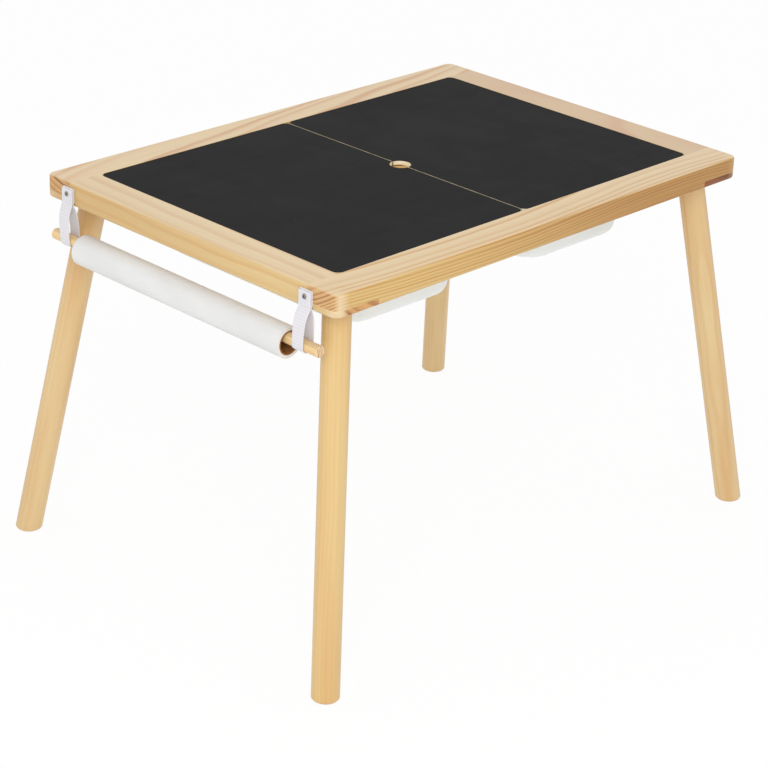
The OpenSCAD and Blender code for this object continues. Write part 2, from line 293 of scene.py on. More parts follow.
def add_camera():
    """Camera at the photograph's viewing angle, off the corner where the paper roll hangs."""
    data = bpy.data.cameras.new("camera")
    data.lens = CAMERA_LENS
    camera = place_object("camera", data)
    yaw, pitch, roll = (math.radians(a) for a in (CAMERA_YAW, CAMERA_PITCH, CAMERA_ROLL))
    turn = (Matrix.Rotation(-yaw, 4, "Z") @ Matrix.Rotation(math.pi / 2 - pitch, 4, "X")
            @ Matrix.Rotation(roll, 4, "Z"))
    camera.matrix_world = Matrix.Translation(CAMERA_AT) @ turn
    bpy.context.scene.camera = camera


def straight_rays(graph):
    """1 for what the camera sees, straight on or in a reflection or through glass, else 0."""
    path = graph.add("LightPath").outputs
    seen = graph.math("MAXIMUM", path["Is Camera Ray"], path["Is Glossy Ray"])
    return graph.math("MAXIMUM", seen, path["Is Transmission Ray"])


def light_studio():
    """White surroundings, which light the table softly, and a square soft box over the camera."""
    world = bpy.data.worlds.new("studio")
    bpy.context.scene.world = world
    world.use_nodes = True
    graph = Graph(world.node_tree)
    background = world.node_tree.nodes["Background"].inputs
    graph.feed(background["Color"], WHITE)
    graph.feed(background["Strength"], graph.span(straight_rays(graph), 0, 1, SKY, 1.0))
    data = bpy.data.lights.new("key_box", "AREA")
    data.size = KEY_SIZE
    data.energy = KEY_WATTS
    lamp = place_object("key_box", data)
    lamp.location = KEY_AT
    lamp.rotation_euler = (KEY_AIM - lamp.location).to_track_quat("-Z", "Y").to_euler()


def add_floor():
    """Pale floor that keeps the table's shadow and can be looked through from below."""
    bm = bmesh.new()
    bmesh.ops.create_grid(bm, x_segments=1, y_segments=1, size=FLOOR_REACH)
    material = bpy.data.materials.new("studio_floor")
    material.use_nodes = True
    graph = Graph(material.node_tree)
    nodes = material.node_tree.nodes
    nodes.remove(nodes["Principled BSDF"])
    plain = graph.add("BsdfDiffuse", {"Color": WHITE}).outputs[0]
    glow = graph.add("Emission", {"Color": WHITE, "Strength": 1.0}).outputs[0]
    seen = graph.times(straight_rays(graph), FLOOR_GLOW)
    lit = graph.add("MixShader", {0: seen, 1: plain, 2: glow}).outputs[0]
    below = graph.add("NewGeometry").outputs["Backfacing"]
    clear = graph.add("BsdfTransparent").outputs[0]
    graph.feed(nodes["Material Output"].inputs["Surface"],
               graph.add("MixShader", {0: below, 1: lit, 2: clear}).outputs[0])
    add_piece("floor", bm, material)


# ---- wood ----

# One year's ring from its pale early wood to its dark late wood, as (place, darkness).
SEASONS = [(0.0, 0.55), (0.1, 0.05), (0.35, 0.1), (0.6, 0.35), (0.78, 0.95), (0.93, 1.0),
           (1.0, 0.55)]
UNEVEN_YEARS = 1.3             # rings' widths by which good and bad years shift a ring
UNEVEN_RHYTHM = 0.45           # how often good years turn to bad ones, per ring
FAINTEST_YEAR = 0.45           # darkness of the palest late wood
BOW_LENGTH = 0.81              # metres from one bow of a log's grain to the next
# How often a pattern repeats per metre: along the log, and in both directions across it.
SWAY_RATE = (5, 7, 7)
PATCH_RATE = (2.5, 20, 20)
STREAK_RATE = (3, 150, 150)
FIBRE_RATE = (14, 700, 700)
PORE_RATE = (60, 1200, 1200)
SAW_RATE = 700                 # the saw's marks on end grain, in every direction
PORE_PEAKS = (0.68, 0.78)      # pores are where a fine noise peaks
PORE_DARKENS = 0.08
LACQUER_ROUGHNESS, END_ROUGHER, FIBRES_ROUGHER = 0.38, 0.2, 0.14
SHADES = (0.955, 1.025)        # the darkest and the palest fibres multiply the colour by these


def make_pine_rings():
    """Growth rings, fibres and pores of a pine log whose pith runs along the vector's X axis."""
    graph, take, give = start_group(
        "pine_rings", ["End Grain", "Reach", "Rings", "Growth", "Sway", "Bow", "Bow Middle"],
        ["Late", "Shade", "Tint", "Roughness", "Height"])

    def drawn_out(rate, detail):
        return graph.noise(graph.stretch(take["Vector"], rate), detail=detail)

    across = graph.parts(take["Vector"])
    radius = graph.math("SQRT", graph.times_plus(across[1], across[1],
                                                 graph.times(across[2], across[2])))
    sway = graph.minus(drawn_out(SWAY_RATE, 1.5), 0.5)
    radius = graph.times_plus(sway, take["Sway"], radius)
    swing = graph.times(graph.minus(across[0], take["Bow Middle"]), 2 * math.pi / BOW_LENGTH)
    radius = graph.minus(radius, graph.times(graph.math("COSINE", swing), take["Bow"]))
    # The rings draw closer together as the tree ages.
    age = graph.math("POWER", graph.math("DIVIDE", radius, take["Reach"]), take["Growth"])
    phase = graph.times(take["Rings"], age)
    phase = graph.times_plus(graph.noise_along(phase, UNEVEN_RHYTHM, 1), UNEVEN_YEARS, phase)
    season = graph.ramp(graph.math("FRACT", phase), SEASONS)
    year = graph.add("TexWhiteNoise", {"W": graph.math("FLOOR", phase)},
                     noise_dimensions="1D").outputs[0]
    late = graph.times(season, graph.span(year, 0, 1, FAINTEST_YEAR, 1.0))

    fibres, streaks = drawn_out(FIBRE_RATE, 3), drawn_out(STREAK_RATE, 3)
    pores = graph.span(drawn_out(PORE_RATE, 1), *PORE_PEAKS)
    saw_marks = graph.noise(take["Vector"], SAW_RATE, 3)
    texture = graph.add("Mix", {0: take["End Grain"], 2: streaks, 3: saw_marks}).outputs[0]
    graph.feed(give["Late"], graph.times(late, graph.span(texture, *NOISE, 0.7, 1.1)))
    graph.feed(give["Tint"], graph.span(drawn_out(PATCH_RATE, 2), 0.3, 0.75))
    shade = graph.times_plus(fibres, 0.4, graph.times(streaks, 0.6))
    shade = graph.span(shade, *NOISE, *SHADES)
    graph.feed(give["Shade"], graph.times(shade, graph.times_plus(pores, -PORE_DARKENS, 1.0)))
    roughness = graph.times_plus(take["End Grain"], END_ROUGHER, LACQUER_ROUGHNESS)
    graph.feed(give["Roughness"], graph.times_plus(fibres, FIBRES_ROUGHER, roughness))
    graph.feed(give["Height"], graph.times_plus(fibres, 0.6, graph.times_plus(late, 0.5, pores)))
    return graph.tree


PINE_RINGS = make_pine_rings()
# A face that turns from the first cosine to the second becomes end grain, or a top that takes the
# painted sheen.
FACING = (0.4, 0.95)
# A corner is sanded and painted with a highlight from the first distance to its sides on, and fully
# from the second.
SANDED_HIGHLIGHT_FROM, SANDED_HIGHLIGHT_TO = 25 * MM, 9 * MM
SANDED_HIGHLIGHT_FADE = 0.6              # share by which growth lines fade on a sanded corner under its painted highlight
DEEPENING_REACH = 0.7          # share of a rail's half length over which its sides grow darker
DEEP = rgb(214, 187, 138)      # what the darker end of a rail's sides is multiplied by: painted shade where the light falls off, and darker heartwood

# Early and late wood on the sides, on the top and on the end grain. The top's paler tones are a
# painted sheen of the lacquer.
Tones = namedtuple("Tones", "side side_late top top_late end end_late")
PINE = Tones(side=rgb(222, 190, 124), side_late=rgb(192, 136, 54), top=rgb(229, 204, 161),
             top_late=rgb(209, 163, 104), end=rgb(218, 176, 118), end_late=rgb(156, 88, 44))
BACK = PINE._replace(top_late=rgb(210, 162, 112), end=rgb(212, 164, 104),
                     end_late=rgb(118, 64, 26))
BROWN_ENDED = PINE._replace(side=rgb(221, 191, 133), side_late=rgb(211, 164, 98),
                            top_late=rgb(200, 148, 92), end=rgb(214, 162, 98),
                            end_late=rgb(138, 68, 24))
# The centre rail's brighter top is painted light, lifting it in the shade under the lids.
MIDDLE_PAINTED_LIGHT = PINE._replace(top=rgb(236, 202, 140), top_late=rgb(208, 154, 80))
REDDISH = PINE._replace(top=rgb(216, 186, 144), top_late=rgb(204, 152, 112),
                        end=rgb(142, 78, 28), end_late=rgb(90, 46, 16))
TURNED = PINE._replace(side=rgb(224, 192, 131), side_late=rgb(211, 158, 94),
                       end=rgb(224, 186, 132), end_late=rgb(184, 126, 76))
PALE_TURNED = TURNED._replace(side=rgb(227, 200, 148), side_late=rgb(204, 146, 78))
# Paler still: painted light on the back right leg in the table's shade.
BACK_LEG_PAINTED_LIGHT = TURNED._replace(side=rgb(234, 210, 157), side_late=rgb(214, 166, 106))
ROD = TURNED._replace(side=rgb(238, 208, 152), end=rgb(236, 208, 164),
                      end_late=rgb(158, 90, 48))


def pine(name, pith, along, reach, rings, growth=1.5, sway=0.01, bow=0.0, bow_middle=0.0,
         contrast=0.8, half_size=(1, 1), rubbed_and_highlit_ends=0.0, deepening=0.0, patches=0.14, fibres=1.0,
         tones=PINE):
    """Lacquered pine cut from a log whose pith passes a point, along a direction.

    Within reach of the pith lie this many rings, closer together the higher growth is. They
    sway at random and bow along the log, most at bow_middle, and show with this contrast. Faces
    that look up take the paler top tones, a painted sheen of the lacquer. The table's corners,
    half_size from its middle, are sanded pale and carry a painted highlight, and
    rubbed_and_highlit_ends is the share by which end grain fades there. deepening is how much
    darker the sides are at a rail's far end, to the right or to the back, partly painted shade
    where the light falls off along them and partly darker heartwood; patches is how much the
    tone drifts, and fibres how clearly the fibres show.
    """
    material, graph, shader = start_material(name, Coat_Weight=0.3, Coat_Roughness=0.25)
    coordinates = graph.add("TexCoord").outputs
    vector = graph.measured(coordinates["Object"], pith, along.to_track_quat("X", "Z").to_euler())
    facing = graph.add("VectorMath", {0: coordinates["Normal"], 1: along.normalized()},
                       operation="DOT_PRODUCT").outputs["Value"]
    # Faces that look up take the paler top tones: a painted sheen of the lacquer.
    upward_sheen = graph.span(graph.parts(coordinates["Normal"])[2], *FACING)
    place = graph.parts(coordinates["Object"])
    # Pale corners: partly sanding, partly a painted highlight where the corners catch the light.
    sanded_highlight = graph.times(*(graph.span(graph.math("ABSOLUTE", place[k]),
                                      half_size[k] - SANDED_HIGHLIGHT_FROM, half_size[k] - SANDED_HIGHLIGHT_TO)
                           for k in range(2)))
    end = graph.times(graph.span(graph.math("ABSOLUTE", facing), *FACING),
                      graph.times_plus(sanded_highlight, -rubbed_and_highlit_ends, 1))
    log = graph.use(PINE_RINGS, {"Vector": vector, "End Grain": end, "Reach": reach,
                                 "Rings": rings, "Growth": growth, "Sway": sway, "Bow": bow,
                                 "Bow Middle": bow_middle})
    lines = graph.times(graph.times(log["Late"], contrast),
                        graph.times_plus(sanded_highlight, -SANDED_HIGHLIGHT_FADE, 1))
    lines = graph.times_plus(log["Tint"], patches, lines)
    side = graph.mix(lines, tones.side, tones.side_late)
    top = graph.mix(lines, tones.top, tones.top_late)
    length = graph.mix(graph.math("MAXIMUM", upward_sheen, sanded_highlight), side, top)
    run = 0 if abs(along.x) > abs(along.y) else 1          # the table's axis that a rail follows
    # The sides darken towards a rail's far end: partly painted shade where the light falls off
    # along them, partly darker heartwood.
    far = half_size[run] * DEEPENING_REACH
    deeper = graph.times(graph.span(place[run], -far, far, 0, deepening), graph.minus(1, upward_sheen))
    length = graph.mix(deeper, length, DEEP, "MULTIPLY")
    colour = graph.mix(end, length, graph.mix(log["Late"], tones.end, tones.end_late))
    shade = graph.add("CombineColor", {k: log["Shade"] for k in range(3)}).outputs[0]
    graph.feed(shader["Base Color"], graph.mix(fibres, colour, shade, "MULTIPLY"))
    graph.feed(shader["Roughness"], log["Roughness"])
    graph.feed(shader["Normal"], graph.bump(log["Height"], 0.2, 0.2 * MM))
    return material


# ---- other finishes ----

# The darker and the paler tone of each finish.
BEECH = rgb(196, 152, 104), rgb(216, 176, 128)
LID_BOARD = rgb(246, 235, 204), rgb(252, 244, 221)
# Painted shade on the lid boards' edges in the gap between the lids.
LID_GAP_PAINTED_SHADE = rgb(183, 171, 140), rgb(209, 198, 171)
FILM = rgb(30, 30, 30), rgb(36, 36, 36)
PLASTIC = rgb(245, 244, 240), rgb(250, 249, 247)
COTTON = rgb(219, 217, 221), rgb(225, 223, 228)
THREAD = rgb(222, 220, 226), rgb(244, 243, 247)
PAPER_FACE = rgb(224, 224, 223), rgb(232, 232, 231)
PAPER_EDGE = rgb(222, 222, 218), rgb(246, 246, 243)
CARDBOARD = rgb(116, 70, 36), rgb(172, 122, 72)
STEEL = rgb(128, 120, 110), rgb(172, 166, 158)
ZINC = rgb(150, 152, 156), rgb(205, 207, 210)
BRASS = rgb(178, 140, 70), rgb(224, 192, 118)
CHALK_DUST = rgb(180, 182, 178)
CARDBOARD_SEAM = rgb(112, 74, 42)

GAP_SHADE_FROM, GAP_SHADE_TO = 1.6 * MM, 2.2 * MM    # from the table's middle: painted shade in the gap, then the plain board
RIB, YARN = 4.3 * MM, 1.5 * MM                     # pitch of the webbing's ribs and yarns
RIB_SLIP = 0.7 * MM                                # how far a rib strays from its place
CORE_TURN = 60 * MM                                # the cardboard strip's way along in one turn
WEAVE = "weave"


def make_speckle():
    """Fine even noise in two sizes, for moulded, painted and sawn surfaces."""
    graph, take, give = start_group("speckle", ["Fine", "Broad"], ["Fine", "Broad"])
    for size in ("Fine", "Broad"):
        graph.feed(give[size], graph.noise(take["Vector"], take[size], 3))
    return graph.tree


def make_twill():
    """Weave of flat webbing. The vector is in metres, X across the band and Y along it."""
    graph, take, give = start_group("webbing_twill", ["Rib", "Yarn"], ["Height", "Shade"])
    place = graph.parts(take["Vector"])
    slip = graph.times(graph.minus(graph.noise(take["Vector"], 260, 2), 0.5), RIB_SLIP)
    rows = graph.math("DIVIDE", graph.math("ADD", place[1], slip), take["Rib"])
    row = graph.math("FRACT", rows)
    rib = graph.math("POWER", graph.math("SINE", graph.times(row, math.pi)), 2)
    # Each row lies half a yarn to the side of the last.
    columns = graph.math("ADD", graph.math("DIVIDE", place[0], take["Yarn"]),
                         graph.times(graph.math("FLOOR", rows), 0.5))
    yarn = graph.math("SINE", graph.times(graph.math("FRACT", columns), math.pi))
    fuzz = graph.noise(take["Vector"], 5200, 3)
    height = graph.times(rib, graph.times_plus(yarn, 0.25, 0.75))
    graph.feed(give["Height"], graph.times_plus(fuzz, 0.25, height))
    # Shade: painted shade in the grooves between ribs and yarns, with a random fuzz.
    graph.feed(give["Shade"], graph.times_plus(fuzz, 0.2, graph.span(height, 0, 0.8)))
    return graph.tree


def make_hoops():
    """Distance from an axis along Y through the vector's origin, and a helix round that axis.

    The helix runs from 0 on the line that winds round to 0.5 halfway between its turns.
    """
    graph, take, give = start_group("hoops", ["Pitch"], ["Radius", "Helix"])
    place = graph.parts(take["Vector"])
    radius = graph.math("SQRT", graph.math("ADD", graph.times(place[0], place[0]),
                                           graph.times(place[2], place[2])))
    turns = graph.times_plus(graph.math("ARCTAN2", place[2], place[0]), 1 / (2 * math.pi),
                             graph.math("DIVIDE", place[1], take["Pitch"]))
    graph.feed(give["Radius"], radius)
    graph.feed(give["Helix"], graph.math("ABSOLUTE", graph.minus(graph.math("FRACT", turns), 0.5)))
    return graph.tree


SPECKLE, TWILL, HOOPS = make_speckle(), make_twill(), make_hoops()


def start_speckled(name, fine, broad, roughness, relief, **constants):
    """A finish with a fine relief that still lacks its colour, and the drift of its tone."""
    material, graph, shader = start_material(name, **constants)
    speckle = graph.use(SPECKLE, {"Vector": object_coordinates(graph), "Fine": fine,
                                  "Broad": broad})
    tone = graph.times_plus(graph.minus(speckle["Fine"], 0.5), 0.5,
                            graph.span(speckle["Broad"], *NOISE))
    graph.feed(shader["Roughness"], graph.span(speckle["Fine"], *NOISE, *roughness))
    graph.feed(shader["Normal"], graph.bump(speckle["Fine"], *relief))
    return material, graph, shader, tone


def speckled(name, tones, **looks):
    """A finish whose colour drifts between two tones, with a fine relief."""
    material, graph, shader, tone = start_speckled(name, **looks)
    graph.feed(shader["Base Color"], graph.mix(tone, *tones))
    return material


def board_finish():
    """Pale lid board, with painted shade on the edges that face each other across the gap between
    the lids.
    """
    material, graph, shader, tone = start_speckled(
        "lid_board", fine=1800, broad=90, roughness=(0.6, 0.75), relief=(0.4, 0.2 * MM))
    across = graph.math("ABSOLUTE", graph.parts(object_coordinates(graph))[0])
    gap_shade = graph.span(across, GAP_SHADE_FROM, GAP_SHADE_TO, 1, 0)
    graph.feed(shader["Base Color"], graph.mix(gap_shade, graph.mix(tone, *LID_BOARD),
                                               graph.mix(tone, *LID_GAP_PAINTED_SHADE)))
    return material


def blackboard_finish():
    """Matt black writing film: fine tooth, wiped chalk haze and a few specks of chalk dust."""
    material, graph, shader = start_material("blackboard_film", Specular_IOR_Level=0.12)
    vector = object_coordinates(graph)
    tooth = graph.noise(vector, 2600, 2)
    haze = graph.noise(graph.stretch(vector, (5, 3, 5)), 2.2, 5, roughness=0.6, distortion=0.6)
    wipes = graph.noise(graph.stretch(vector, (3, 34, 3)), 1.0, 4, roughness=0.55, distortion=0.4)
    dust = graph.add("TexVoronoi", {"Vector": vector, "Scale": 34}, feature="F1").outputs[0]
    dust = graph.times(graph.span(dust, 0.012, 0.03, 1, 0),
                       graph.span(graph.noise(vector, 9, 1), 0.55, 0.7))
    film = graph.span(graph.math("ADD", haze, graph.times(wipes, 0.5)), 0.55, 0.95)
    graph.feed(shader["Base Color"], graph.mix(graph.times(dust, 0.35), graph.mix(film, *FILM),
                                               CHALK_DUST))
    graph.feed(shader["Roughness"], graph.span(haze, *NOISE, 0.72, 0.86))
    graph.feed(shader["Normal"], graph.bump(tooth, 0.35, 0.1 * MM))
    return material


def webbing_finish():
    """White cotton webbing with crosswise ribs, read from the band's own UV map in metres."""
    material, graph, shader = start_material("cotton_webbing", Sheen_Weight=0.3,
                                             Subsurface_Weight=0.3, Subsurface_Scale=3 * MM,
                                             Subsurface_Radius=(1, 0.8, 0.8),
                                             Specular_IOR_Level=0.2)
    vector = graph.add("UVMap", uv_map=WEAVE).outputs[0]
    twill = graph.use(TWILL, {"Vector": vector, "Rib": RIB, "Yarn": YARN})
    # The twill's shade is painted shade in the weave's grooves.
    graph.feed(shader["Base Color"], graph.mix(twill["Shade"], *COTTON))
    graph.feed(shader["Roughness"], graph.span(twill["Height"], 0, 1, 0.95, 0.8))
    graph.feed(shader["Normal"], graph.bump(twill["Height"], 0.07, 0.3 * MM))
    return material


def paper_finish(axis):
    """White drawing paper, faintly mottled, whose sheet edges show as fine hoops on the ends."""
    material, graph, shader = start_material("drawing_paper", Specular_IOR_Level=0.3)
    vector = graph.measured(object_coordinates(graph), axis)
    radius = graph.use(HOOPS, {"Vector": vector, "Pitch": 1.0})["Radius"]
    facing = graph.parts(graph.add("TexCoord").outputs["Normal"])[1]
    end = graph.span(graph.math("ABSOLUTE", facing), 0.6, 0.9)
    uneven = graph.times_plus(graph.noise(vector, 120, 2), 1.2 * MM, radius)
    sheets = graph.noise_along(uneven, 5200, 2)
    pulp = graph.noise(vector, 900, 4)
    cloud = graph.noise(graph.stretch(vector, (1, 0.5, 1)), 28, 3)
    face = graph.mix(graph.span(graph.times_plus(pulp, 0.3, cloud), 0.4, 0.9), *PAPER_FACE)
    edge = graph.mix(graph.span(sheets, 0.35, 0.65), *PAPER_EDGE)
    graph.feed(shader["Base Color"], graph.mix(end, face, edge))
    graph.feed(shader["Roughness"], graph.span(pulp, *NOISE, 0.68, 0.8))
    relief = graph.times_plus(graph.times(sheets, end), 4.0, pulp)
    graph.feed(shader["Normal"], graph.bump(relief, 0.25, 0.1 * MM))
    return material


def cardboard_finish(axis):
    """Spiral-wound grey-brown board: plies meet on a helix, and fibres fleck the surface."""
    material, graph, shader = start_material("core_cardboard", Specular_IOR_Level=0.25)
    vector = graph.measured(object_coordinates(graph), axis)
    hoops = graph.use(HOOPS, {"Vector": vector, "Pitch": CORE_TURN})
    seam = graph.span(hoops["Helix"], 0.0, 0.012, 1, 0)
    fibres = graph.noise(graph.stretch(vector, (300, 90, 300)), 3, 4, roughness=0.6)
    plies = graph.noise_along(hoops["Radius"], 2600, 1)
    tone = graph.times_plus(plies, 0.5, graph.times(fibres, 0.6))
    board = graph.mix(graph.span(tone, 0.35, 0.75), *CARDBOARD)
    graph.feed(shader["Base Color"], graph.mix(graph.times(seam, 0.5), board, CARDBOARD_SEAM))
    graph.feed(shader["Roughness"], graph.span(fibres, *NOISE, 0.8, 0.92))
    graph.feed(shader["Normal"], graph.bump(graph.minus(fibres, seam), 0.4, 0.2 * MM))
    return material


def thread_finish(name, tones, centre, along, pitch):
    """Metal with a rolled screw thread round an axis, brighter on the crests."""
    material, graph, shader = start_material(name, Metallic=1.0)
    turn = along.to_track_quat("Y", "Z").to_euler()
    vector = graph.measured(object_coordinates(graph), centre, turn)
    crest = graph.span(graph.use(HOOPS, {"Vector": vector, "Pitch": pitch})["Helix"], 0.1, 0.5)
    stains = graph.noise(vector, 220, 3)
    graph.feed(shader["Base Color"], graph.mix(graph.times(crest, stains), *tones))
    graph.feed(shader["Roughness"], graph.span(stains, *NOISE, 0.25, 0.45))
    graph.feed(shader["Normal"], graph.bump(crest, 0.8, 0.6 * MM))
    return material


# ---- frame ----

RAIL_EASED = 0.35 * MM
LEVEL = 0.2 * MM               # points this close to a height lie at it
LEG_PITH = (0.05, -0.062)      # from a leg's head to its pith, outwards and towards the middle
LEG_PITH_SHIFT = 0.02          # the back legs' pith lies this much further to the right
BOLT_PITCH, INSERT_PITCH = 1.25 * MM, 2 * MM
# How clearly the growth lines show on each leg, and the tones of its wood. The back legs' paler
# tones are painted light, lifting them in the table's shade.
LEG_WOODS = {"front_left": (0.24, TURNED), "front_right": (0.42, PALE_TURNED),
             "back_left": (0.2, PALE_TURNED), "back_right": (0.2, BACK_LEG_PAINTED_LIGHT)}


def add_rails():
    """The five rails. Each is cut from its own log, so the grain changes at every joint.

    The piths lie outside the boards. All lengths are in metres.
    """
    front, back = box_of("long_rail_front"), box_of("long_rail_back")
    top, half_size = front.high.z, (front.high.x, back.high.y)
    woods = {
        "long_rail_front": pine(
            "pine_front_rail", Vector((0, front.low.y + 0.132, top + 0.172)), X,
            reach=0.230, rings=10, growth=6.3, sway=0.007, bow=0.0055, bow_middle=-0.13,
            contrast=1.0, half_size=half_size, deepening=1.0),
        "long_rail_back": pine(
            "pine_back_rail", Vector((0, back.high.y - 0.075, top + 0.135)),
            Vector((1, 0, -0.06)), reach=0.15, rings=17, growth=1.0, sway=0.011, bow=0.002,
            bow_middle=-0.2, contrast=1.0, half_size=half_size, tones=BACK),
        "end_rail_left": pine(
            "pine_left_rail", Vector((front.low.x + 0.16, 0, top + 0.15)), Vector((0.01, 1, 0.02)),
            reach=0.2, rings=11.45, growth=1.3, sway=0.012, bow=0.004, bow_middle=0.1,
            contrast=0.62, half_size=half_size, rubbed_and_highlit_ends=1.0, deepening=0.27,
            tones=BROWN_ENDED),
        "end_rail_right": pine(
            "pine_right_rail", Vector((front.high.x - 0.06, 0, top - 0.2)),
            Vector((0.01, 1, 0.02)), reach=0.2, rings=9, growth=1.3, sway=0.03, contrast=0.7,
            half_size=half_size, rubbed_and_highlit_ends=0.3, tones=REDDISH),
        "centre_rail": pine(
            "pine_centre_rail", Vector((0.03, 0, top - 0.12)), Vector((0.004, 1, 0.004)),
            reach=0.12, rings=12, tones=MIDDLE_PAINTED_LIGHT),
    }
    for node, wood in woods.items():
        stand_in(eased_copy("sanded_" + node, node, RAIL_EASED, wood), [node], "frame")
    finish_node("centre_rail_dowels", speckled("dowel_beech", BEECH, fine=900, broad=60,
                                               roughness=(0.5, 0.6), relief=(0.3, 0.2 * MM)))


def level_centre(node, height):
    """Middle of a node's outline at a height."""
    ring = [v.co for v in frame["nodes"][node].data.vertices if abs(v.co.z - height) < LEVEL]
    low = Vector(min(v[i] for v in ring) for i in range(3))
    high = Vector(max(v[i] for v in ring) for i in range(3))
    return (low + high) / 2


def add_leg(place, outwards, to_middle, shift):
    """One leg, turned from its own straight-grained square, with its bolt and insert."""
    leg = box_of("leg_" + place)
    foot, head = (level_centre("leg_" + place, height) for height in (leg.low.z, leg.high.z))
    axis = (head - foot).normalized()
    pith = head + Vector((outwards, to_middle, 0)) + Vector((shift, 0, 0))
    contrast, tones = LEG_WOODS[place]
    finish_node("leg_" + place, pine("pine_leg_" + place, pith, axis, reach=0.09, rings=11,
                                     contrast=contrast, patches=0.5, fibres=0.9, tones=tones))
    finish_node("leg_bolt_" + place,
                thread_finish("zinc_bolt_" + place, ZINC, head, axis, BOLT_PITCH))
    finish_node("leg_insert_" + place,
                thread_finish("brass_insert_" + place, BRASS, head, axis, INSERT_PITCH))


def add_legs():
    """The four legs, each from another part of the wood; the back ones get paler tones as painted
    light in the table's shade.
    """
    for number, (end, end_sign) in enumerate(ENDS.items()):
        for side, side_sign in SIDES.items():
            add_leg(end + "_" + side, LEG_PITH[0] * side_sign, LEG_PITH[1] * end_sign,
                    LEG_PITH_SHIFT * number)


# ---- lids ----

BOARD_EASED = 0.2 * MM


def add_lids():
    """Both lids: a thin pale board with black writing film on its upper face."""
    layers = (("board_", "lid_", "lid_board", board_finish()),
              ("film_", "blackboard_", "blackboard", blackboard_finish()))
    for side in SIDES:
        for name, node, slot, finish in layers:
            stand_in(eased_copy(name + side, node + side, BOARD_EASED, finish), [node + side],
                     "lid_" + side)


# ---- bins ----

BIN_WALL = 2 * MM
BIN_MOUTH = (238.3 * MM, 401.4 * MM)      # inside of the mouth, level with the top of the rim
BIN_CORNER, CORNER_STEPS = 57.7 * MM, 14  # radius of the mouth's corners
BIN_DRAFT = math.radians(9.5)             # how far the walls lean in towards the floor
BIN_FLOOR_RADIUS, FLOOR_STEPS = 10 * MM, 6
BIN_LIP_RADIUS, LIP_STEPS = 1.6 * MM, 3
BIN_RIM_ROUND = 0.6 * MM
RIM_INNER_RADIUS, RIM_OUTER_RADIUS, RIM_STEPS = 6 * MM, 10 * MM, 6


def rounded_face(bm, centre, span, radii, steps):
    """A level face with rounded corners: radii are those at its -X end and at its +X end."""
    earlier = set(bm.faces)
    place = Matrix.Translation(centre) @ Matrix.Diagonal((*span, 1, 1))
    corners = bmesh.ops.create_grid(bm, x_segments=1, y_segments=1, size=0.5,
                                    matrix=place)["verts"]
    for side, radius in zip((LEFT, RIGHT), radii):
        ends = [v for v in corners if v.is_valid and (v.co.x - centre.x) * side > 0]
        bmesh.ops.bevel(bm, geom=ends, offset=radius, offset_type="OFFSET", segments=steps,
                        profile=0.5, affect="VERTICES", material=-1)
    return next(face for face in bm.faces if face not in earlier)


def bin_mouth_middle(side):
    """Middle of a bin's window in the frame, between the centre rail and the end rail."""
    window_near = box_of("centre_rail").high.x
    rail = box_of("end_rail_" + side)
    window_far = min(abs(rail.low.x), abs(rail.high.x))
    return SIDES[side] * (window_near + window_far) / 2


def add_bin(side, plastic):
    """One moulded bin: a flat rim that rests in the frame, and a tub that tapers to its floor."""
    box = box_of("bin_" + side)
    top = box.high.z
    depth = top - box.low.z - BIN_WALL
    bm = bmesh.new()
    radii = (RIM_INNER_RADIUS, RIM_OUTER_RADIUS)[::SIDES[side]]
    rim = rounded_face(bm, Vector((box.centre.x, 0, top)),
                       (box.high.x - box.low.x, box.high.y - box.low.y), radii, RIM_STEPS)
    rim_edges = list(rim.edges)
    bmesh.ops.delete(bm, geom=[rim], context="FACES_ONLY")
    floor = rounded_face(bm, Vector((bin_mouth_middle(side), 0, top)), BIN_MOUTH,
                         (BIN_CORNER, BIN_CORNER), CORNER_STEPS)
    mouth_edges = list(floor.edges)
    bmesh.ops.triangle_fill(bm, edges=rim_edges + mouth_edges, use_beauty=True, normal=Z)
    bmesh.ops.inset_region(bm, faces=[floor], thickness=depth * math.tan(BIN_DRAFT),
                           depth=-depth, use_even_offset=True, use_boundary=True)
    bevel(bm, floor.edges, BIN_FLOOR_RADIUS, FLOOR_STEPS)
    lip = [edge for edge in bm.edges if len(edge.link_faces) == 2
           and all(abs(v.co.z - top) < NEAR for v in edge.verts)
           and edge.calc_face_angle() > SHARP]
    bevel(bm, lip, BIN_LIP_RADIUS, LIP_STEPS)
    bmesh.ops.recalc_face_normals(bm, faces=bm.faces)
    deepest = min(bm.faces, key=lambda face: face.calc_center_median().z)
    if deepest.normal.z < 0:
        bmesh.ops.reverse_faces(bm, faces=bm.faces)
    tub = add_piece("tub_" + side, bm, plastic)
    thicken(tub, BIN_WALL, -1)
    soften(tub, BIN_RIM_ROUND)
    stand_in(tub, ["bin_" + side], "bin_" + side)


def add_bins():
    """Both bins, moulded in the same white plastic."""
    plastic = speckled("bin_plastic", PLASTIC, fine=1600, broad=14, roughness=(0.34, 0.46),
                       relief=(0.12, 0.1 * MM), Subsurface_Weight=0.1)
    for side in SIDES:
        add_bin(side, plastic)


# ---- paper holder ----

SWING = Vector(next(j for j in frame["joints"] if j["name"] == "holder_swing")["pos_m"])
# A strap's hems.
HEM_STEP = 1.75 * MM           # the outer hem ends this much lower
HEM_RAW_END = 5 * MM           # a hem's raw end lies this far above the line where the loop swings
HEM_FREE_END = 2 * MM          # the band leaves the hem this far above that line
FOLD_STEPS = 6
# A strap's loop, from the hems down to the rod.
LOOP_SWELL = 4.2               # how fast a loop opens below the rail
LOOP_EASE = 0.03               # share of the loop in which it starts to open
LOOP_STEPS, RING_STEPS = 22, 20
